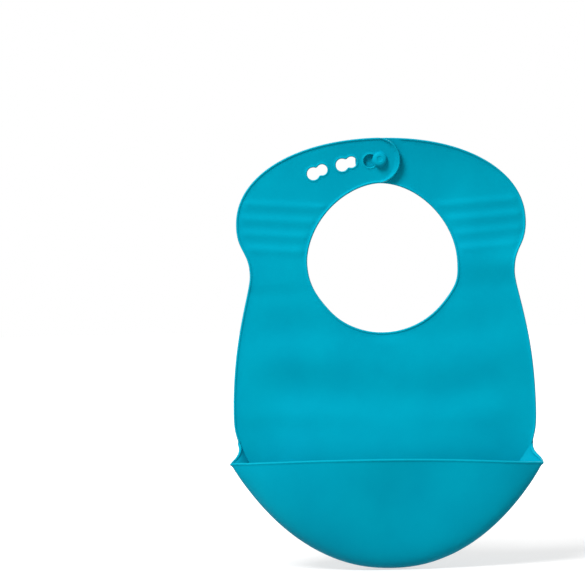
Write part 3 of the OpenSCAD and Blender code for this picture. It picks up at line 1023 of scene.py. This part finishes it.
class BIB_OT_right_strap(bpy.types.Operator):
    """Make the right half of the collar, from the waist to its round end under the tab"""

    bl_idname = "bib.right_strap"
    bl_label = "Right strap"

    def execute(self, context):
        settings = context.scene.bib
        neck, outer = strap_edges(settings, 1.0)
        neck = neck[::-1]
        end = round_end(settings, -1)
        neck = neck[neck[:, 0] > end[-1, 0] + END_CLEAR]
        outer = outer[outer[:, 0] > end[0, 0] + END_CLEAR]
        edge = resample(np.vstack([outer, end, neck]), EDGE_STEP)
        waist = waist_ladder(settings, 1.0)
        net = Net()
        net.free_edge(edge, EDGE_ROWS, last_rows(waist), first_rows(waist))
        net.chain(waist, np.inf)
        loop = np.vstack([edge, waist[1:-1]])
        piece = strap_skin("right_strap_skin", settings, net, loop, "right_collar")
        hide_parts("right_shoulder", "right_strap")
        return {"FINISHED"}


class BIB_OT_chest_panel(bpy.types.Operator):
    """Make the panel from the waist down to the pocket's crease"""

    bl_idname = "bib.chest_panel"
    bl_label = "Chest panel"

    def execute(self, context):
        settings = context.scene.bib
        sheet, collar = settings.sheet, settings.collar
        skin_out, skin_in, _, fold = pocket_skin(settings)
        waist_left = waist_ladder(settings, -1.0)
        waist_right = waist_ladder(settings, 1.0)
        right = resample(panel_side(collar)[::-1], EDGE_STEP)
        left = mirrored(right)
        arc = neck_curve(collar, np.linspace(360.0, 180.0, CURVE_POINTS))
        arc = arc[arc[:, 1] < collar.waist_height]
        arc = resample(np.vstack([waist_right[0], arc, waist_left[0]]), EDGE_STEP)
        rows = len(EDGE_ROWS)
        net = Net()
        net.free_edge(right, EDGE_ROWS, fold[::-1][1: rows + 1], last_rows(waist_right))
        net.free_edge(left, EDGE_ROWS, last_rows(waist_left), fold[1: rows + 1])
        net.free_edge(arc, EDGE_ROWS, first_rows(waist_right), first_rows(waist_left))
        net.chain(waist_left, np.inf)
        net.chain(waist_right, np.inf)
        net.chain(fold, np.inf)
        loop = np.vstack([
            fold, right[1:], waist_right[::-1][1:-1], arc, waist_left[1:-1], left[:-1]
        ])
        seeds = grid_seeds(loop.min(axis=0), loop.max(axis=0), sheet.spacing, sheet.spacing * ROW_SHARE)
        points, gaps, triangles = net.fill(loop, [], seeds, PANEL_CLEAR)
        high, low = sheet_heights(sheet, gaps, sheet.bead_height, sheet.back_bead, sheet.bead_width)
        wave = sheet_wave(sheet, points)
        hung = points + np.column_stack([np.zeros(len(points)), pocket_hang(sheet, points)])
        front = raised(hung, high + wave)
        back = raised(hung, low + wave)
        for i, place in enumerate(fold):
            at = int(np.argmin(np.sum((points - place) ** 2, axis=1)))
            front[at] = skin_in[i, 0]
            back[at] = skin_out[i, 0]
        piece = sheet_piece("chest_panel_skin", points, gaps, triangles, front, back)
        dress(piece)
        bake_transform(piece)
        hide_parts("chest_panel", "pocket_back")
        return {"FINISHED"}


class BIB_OT_crumb_pocket(bpy.types.Operator):
    """Make the crumb pocket: the bottom turn, the pleated corners, the front wall and its beaded rim"""

    bl_idname = "bib.crumb_pocket"
    bl_label = "Crumb pocket"

    def execute(self, context):
        settings = context.scene.bib
        outer, inner, gap, _ = pocket_skin(settings)
        columns, rows = gap.shape
        points = np.vstack([outer.reshape(-1, 3), inner.reshape(-1, 3)])
        ids = np.arange(columns * rows).reshape(columns, rows)
        far = columns * rows
        a, b = ids[:-1, :-1].ravel(), ids[1:, :-1].ravel()
        c, d = ids[1:, 1:].ravel(), ids[:-1, 1:].ravel()
        faces = np.stack([a, b, c, d], axis=1).tolist()
        faces += (np.stack([d, c, b, a], axis=1) + far).tolist()
        caps = [[int(q), int(p), int(p) + far, int(q) + far] for p, q in zip(ids[:-1, 0], ids[1:, 0])]
        gaps = np.concatenate([gap.ravel(), gap.ravel()])
        piece = new_piece("crumb_pocket_skin", upright(points), faces, caps, gaps)
        dress(piece)
        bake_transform(piece)
        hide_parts("pocket_base", "left_gusset", "right_gusset", "pocket_wall", "pocket_rim")
        return {"FINISHED"}


HOLE_ROWS = np.array([0.1, 0.25, 0.45, 0.7, 0.95, 1.2]) * MM
HOLE_STEP = 0.35 * MM
LIP_MARGIN = 0.05 * MM
LIP_FOOT = 0.3 * MM
TAB_STEP = 1.0 * MM
TAB_GRID = (1.3 * MM, 1.1 * MM)


def arc_points(centre, radius, first, last):
    """Points on an arc between two angles."""
    count = max(3, int(abs(last - first) * radius / HOLE_STEP))
    a = np.linspace(first, last, count)
    return centre + radius * np.stack([np.cos(a), np.sin(a)], axis=1)


def keyhole_loop(closure, i):
    """Outline of one keyhole, with the sheet on its left."""
    stud = stud_place()
    a = math.atan2(stud[1], stud[0]) + i * closure.hole_step
    size = math.hypot(math.cos(a) / closure.hole_row_half, math.sin(a) / np.linalg.norm(stud))
    lock = np.array([math.cos(a), math.sin(a)]) / size
    slope = closure.hole_slope + i * closure.hole_slope_step
    away = -np.array([math.cos(slope), math.sin(slope)])
    entry = lock + closure.lobe_gap * away
    small, big, fillet = closure.lock_radius, closure.entry_radius, closure.lobe_fillet
    gap = closure.lobe_gap
    along = ((small + fillet) ** 2 - (big + fillet) ** 2 + gap * gap) / (2 * gap)
    aside = math.sqrt((small + fillet) ** 2 - along * along)
    face = math.atan2(away[1], away[0])
    small_turn = math.atan2(aside, along)
    big_turn = math.atan2(aside, along - gap)
    normal = np.array([-away[1], away[0]])
    upper = lock + along * away + aside * normal
    lower = lock + along * away - aside * normal
    back = face + math.pi
    return np.vstack([
        arc_points(lock, small, back + math.pi - small_turn, face + small_turn),
        arc_points(upper, fillet, back + small_turn, back + big_turn)[1:],
        arc_points(entry, big, face + big_turn, face - big_turn)[1:],
        arc_points(lower, fillet, back - big_turn, back - small_turn)[1:-1],
    ])


def tab_rise(settings, points):
    """How far the tab lifts off the strap behind it, bending softly at its root."""
    slope = math.tan(settings.closure.tilt)
    bend = settings.closure.bend
    w = from_peel(points)
    curved = slope * np.clip(w + bend, 0.0, 2 * bend) ** 2 / (4 * bend)
    return np.where(w > bend, slope * w, curved)


class BIB_OT_strap_tab(bpy.types.Operator):
    """Make the tab with its keyholes, their lips and the crescent rim at its end"""

    bl_idname = "bib.strap_tab"
    bl_label = "Strap tab"

    def execute(self, context):
        settings = context.scene.bib
        sheet, closure = settings.sheet, settings.closure
        neck, outer = (peel_cut(settings, edge)[1] for edge in strap_edges(settings, -1.0))
        end = round_end(settings, 1)
        neck = neck[neck[:, 0] < end[0, 0] - END_CLEAR]
        outer = outer[::-1]
        outer = outer[outer[:, 0] < end[-1, 0] - END_CLEAR]
        edge = resample(np.vstack([neck, end, outer]), TAB_STEP)
        peel = peel_ladder(settings)
        holes = [keyhole_loop(closure, i) for i in range(closure.hole_count)]
        net = Net()
        net.free_edge(edge, EDGE_ROWS, first_rows(peel), last_rows(peel))
        net.chain(peel, np.inf)
        for hole in holes:
            net.free_edge(hole, HOLE_ROWS, closed=True)
        loop = np.vstack([edge, peel[::-1][1:-1]])
        seeds = grid_seeds(loop.min(axis=0), loop.max(axis=0), *TAB_GRID)
        points, gaps, triangles = net.fill(loop, holes, seeds, TAB_CLEAR)
        around = np.vstack([resample(np.vstack([h, h[:1]]), FINE_STEP) for h in holes])
        lip = nearest(points, around) < HOLE_ROWS[-1] + LIP_MARGIN
        bead = np.where(lip, closure.lip_height, sheet.bead_height)
        width = np.where(lip, closure.lip_width + LIP_FOOT, sheet.bead_width)
        back_bead = np.where(lip, 0.0, sheet.back_bead)
        front, back = sheet_heights(sheet, gaps, bead, back_bead, width)
        front = front + rib_heights(settings, points, nearest(points, resample(edge, EDGE_SAMPLE)))
        centre, radius = end_circle(settings)
        centre = centre - (closure.crescent_width, 0.0)
        past = np.linalg.norm(points - centre, axis=1) - radius
        rim = closure.crescent_height * ramp(past, -0.3 * MM, 0.8 * MM)
        rim = rim * (points[:, 0] > centre[0]) * np.clip(gaps / (0.5 * MM), 0.0, 1.0)
        rise = tab_rise(settings, points) + sheet_wave(sheet, points)
        sides = raised(points, front + rim + rise), raised(points, back + rise)
        piece = sheet_piece("strap_tab_skin", points, gaps, triangles, *sides)
        dress(piece)
        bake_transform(piece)
        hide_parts("strap_tab")
        return {"FINISHED"}


def turned(name, profile, centre, steps):
    """A solid turned about an axis out of the front, from (radius, height) points."""
    a = np.linspace(0.0, 2.0 * math.pi, steps, endpoint=False)
    rings = [
        np.column_stack([centre[0] + r * np.cos(a), centre[1] + r * np.sin(a), np.full(steps, z)])
        for r, z in profile
    ]
    points = np.vstack(rings)
    faces = []
    for i in range(len(profile) - 1):
        for j in range(steps):
            k = (j + 1) % steps
            faces.append([i * steps + j, i * steps + k, (i + 1) * steps + k, (i + 1) * steps + j])
    return new_piece(name, upright(points), faces, [], np.full(len(points), 1.0))


CORNER_SHARE = 0.45


def rounded_profile(corners, radius, steps=5):
    """A profile whose inner corners are rounded."""
    corners = [np.array(c) for c in corners]
    made = [corners[0]]
    for before, here, after in zip(corners, corners[1:], corners[2:]):
        room = min(np.linalg.norm(here - before), np.linalg.norm(after - here))
        size = min(radius, room * CORNER_SHARE)
        a = here + unit(before - here) * size
        b = here + unit(after - here) * size
        made += list(curve3(a, here, b, np.linspace(0.0, 1.0, steps)))
    made.append(corners[-1])
    return made


# The stud's profile, as radii and heights in millimetres over its foot, its head's underside and its top
STUD_FOOT = ((0.0, 0.0), (5.9, 0.0), (5.2, 0.6), (2.8, 1.3))
STUD_UNDER = ((2.8, 0.0), (5.0, 0.0), (5.3, 0.6))
STUD_TOP = ((5.1, -1.3), (4.0, -0.35), (2.2, 0.0), (1.8, -0.35), (0.9, -0.4), (0.0, -0.4))
STUD_SINK, STUD_CROWN, STUD_HEAD = 0.2 * MM, 0.2 * MM, 2.6 * MM
STUD_ROUND = 0.8 * MM
STUD_STEPS = 72


class BIB_OT_closure_stud(bpy.types.Operator):
    """Make the moulded stud on the right strap's end"""

    bl_idname = "bib.closure_stud"
    bl_label = "Closure stud"

    def execute(self, context):
        sheet = context.scene.bib.sheet
        bend = float(sheet_wave(sheet, stud_place()[None])[0])
        foot = sheet.thickness - STUD_SINK + bend
        top = -STUD_LOW.y + STUD_CROWN + bend
        under = -STUD_LOW.y - STUD_HEAD + bend
        levels = ((foot, STUD_FOOT), (under, STUD_UNDER), (top, STUD_TOP))
        corners = [(r * MM, level + z * MM) for level, rows in levels for r, z in rows]
        profile = rounded_profile(corners, STUD_ROUND)
        piece = turned("closure_stud_skin", profile, stud_place(), STUD_STEPS)
        dress(piece)
        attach(piece, "right_collar")
        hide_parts("closure_stud")
        return {"FINISHED"}


# Stage


LIGHT_TARGET = Vector((0.0, 0.0, -0.07))

# Each soft light's name, place and side
LIGHTS = (
    ("key", (-1.65, -2.35, 2.6), 1.4),
    ("fill", (1.3, -1.5, 0.35), 1.6),
    ("back", (1.1, 1.5, 0.9), 1.6),
)
FLOOR_GREY = (0.42, 0.42, 0.42, 1.0)
FLOOR_REACH = 12.0
FLOOR_GAP = 1.0 * MM
SENSOR_WIDTH = 36.0


def soft_light(name, place, side, power):
    """A square soft light that points at the bib."""
    data = bpy.data.lights.new(name, "AREA")
    data.shape = "SQUARE"
    data.size = side
    data.energy = power
    lamp = bpy.data.objects.new(name, data)
    lamp.location = place
    lamp.rotation_euler = (LIGHT_TARGET - Vector(place)).to_track_quat("-Z", "Y").to_euler()
    bpy.context.scene.collection.objects.link(lamp)


def seen_or_mirrored(tree, place):
    """1 for rays from the camera or from a mirror or glass, 0 for the light itself."""
    rays = node(tree, "ShaderNodeLightPath", place).outputs
    found = rays["Is Camera Ray"]
    for i, ray in enumerate(("Is Glossy Ray", "Is Transmission Ray")):
        either = node(tree, "ShaderNodeMath", (place[0] + 200 * (i + 1), place[1]), operation="MAXIMUM")
        tree.links.new(found, either.inputs[0])
        tree.links.new(rays[ray], either.inputs[1])
        found = either.outputs[0]
    return found


def studio_world(stage):
    """Even light all round, seen as plain white."""
    world = bpy.data.worlds.new("studio")
    world.use_nodes = True
    bpy.context.scene.world = world
    tree = world.node_tree
    link = tree.links.new
    light = tree.nodes["Background"]
    light.inputs["Color"].default_value = WHITE
    light.inputs["Strength"].default_value = stage.ambient
    white = node(tree, "ShaderNodeBackground", (0, -200), {"Color": WHITE, "Strength": 1.0})
    both = node(tree, "ShaderNodeMixShader", (250, 0))
    link(seen_or_mirrored(tree, (-600, 200)), both.inputs[0])
    link(light.outputs[0], both.inputs[1])
    link(white.outputs[0], both.inputs[2])
    link(both.outputs[0], tree.nodes["World Output"].inputs["Surface"])


def floor_finish():
    """Pale matt floor that reads as white and keeps the bib's soft shadow, which fades with distance."""
    material, tree, shader = new_material("pale_floor")
    link = tree.links.new
    shader.inputs["Base Color"].default_value = FLOOR_GREY
    shader.inputs["Roughness"].default_value = 0.9
    shader.inputs["Emission Color"].default_value = WHITE
    place = node(tree, "ShaderNodeTexCoord", (-1100, 100))
    away = node(tree, "ShaderNodeVectorMath", (-900, 100), operation="LENGTH")
    link(place.outputs["Object"], away.inputs[0])
    ends = (0.15, 0.9), (0.6, 1.0)
    fade = span(tree, (-700, 100), away.outputs["Value"], *ends, interpolation_type="SMOOTHSTEP")
    lift = node(tree, "ShaderNodeMath", (-200, -300), operation="MULTIPLY")
    link(seen_or_mirrored(tree, (-900, -300)), lift.inputs[0])
    link(fade, lift.inputs[1])
    link(lift.outputs[0], shader.inputs["Emission Strength"])
    return material


class BIB_OT_studio(bpy.types.Operator):
    """Make the floor, the soft lights, the world and the camera"""

    bl_idname = "bib.studio"
    bl_label = "Studio"

    def execute(self, context):
        scene = context.scene
        stage = scene.bib.stage
        mesh = bpy.data.meshes.new("floor")
        turns = ((-1, -1), (1, -1), (1, 1), (-1, 1))
        corners = [(x * FLOOR_REACH, y * FLOOR_REACH, 0.0) for x, y in turns]
        mesh.from_pydata(corners, [], [(0, 1, 2, 3)])
        floor = bpy.data.objects.new("floor", mesh)
        floor.location.z = CAD_BOX[0].z - FLOOR_GAP
        floor.data.materials.append(floor_finish())
        scene.collection.objects.link(floor)
        for name, place, side in LIGHTS:
            soft_light(name + "_light", place, side, getattr(stage, name))
        studio_world(stage)
        data = bpy.data.cameras.new("camera")
        data.sensor_width = SENSOR_WIDTH
        data.lens = SENSOR_WIDTH * stage.distance / (stage.metres_per_pixel * IMAGE_SIDE)
        camera = bpy.data.objects.new("camera", data)
        camera.location = (stage.aim_x, -stage.distance, stage.aim_z)
        camera.rotation_mode = "QUATERNION"
        ahead = Euler((math.pi / 2, 0.0, 0.0)).to_quaternion()
        camera.rotation_quaternion = ahead @ Quaternion((0.0, 0.0, 1.0), -stage.roll)
        scene.collection.objects.link(camera)
        scene.camera = camera
        scene.view_settings.view_transform = "Standard"
        return {"FINISHED"}


class BIB_PT_panel(bpy.types.Panel):
    """Lists the bib's pieces"""

    bl_idname = "BIB_PT_panel"
    bl_label = "Silicone bib"
    bl_space_type = "VIEW_3D"
    bl_region_type = "UI"
    bl_category = "Bib"

    def draw(self, context):
        for operator in OPERATORS:
            self.layout.operator(operator.bl_idname)


OPERATORS = (
    BIB_OT_chest_panel,
    BIB_OT_left_strap,
    BIB_OT_right_strap,
    BIB_OT_strap_tab,
    BIB_OT_closure_stud,
    BIB_OT_crumb_pocket,
    BIB_OT_studio,
)
SETTINGS = (
    BibSheetSizes,
    BibCollarSizes,
    BibClosureSizes,
    BibPocketSizes,
    BibFinish,
    BibStageSizes,
    BibSettings,
)
CLASSES = SETTINGS + OPERATORS + (BIB_PT_panel,)


def register():
    for item in CLASSES:
        bpy.utils.register_class(item)
    bpy.types.Scene.bib = PointerProperty(type=BibSettings)


def unregister():
    del bpy.types.Scene.bib
    for item in reversed(CLASSES):
        bpy.utils.unregister_class(item)


def main():
    """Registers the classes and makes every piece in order."""
    register()
    for operator in OPERATORS:
        group, name = operator.bl_idname.split(".")
        getattr(getattr(bpy.ops, group), name)()


if __name__ == "__main__":
    main()
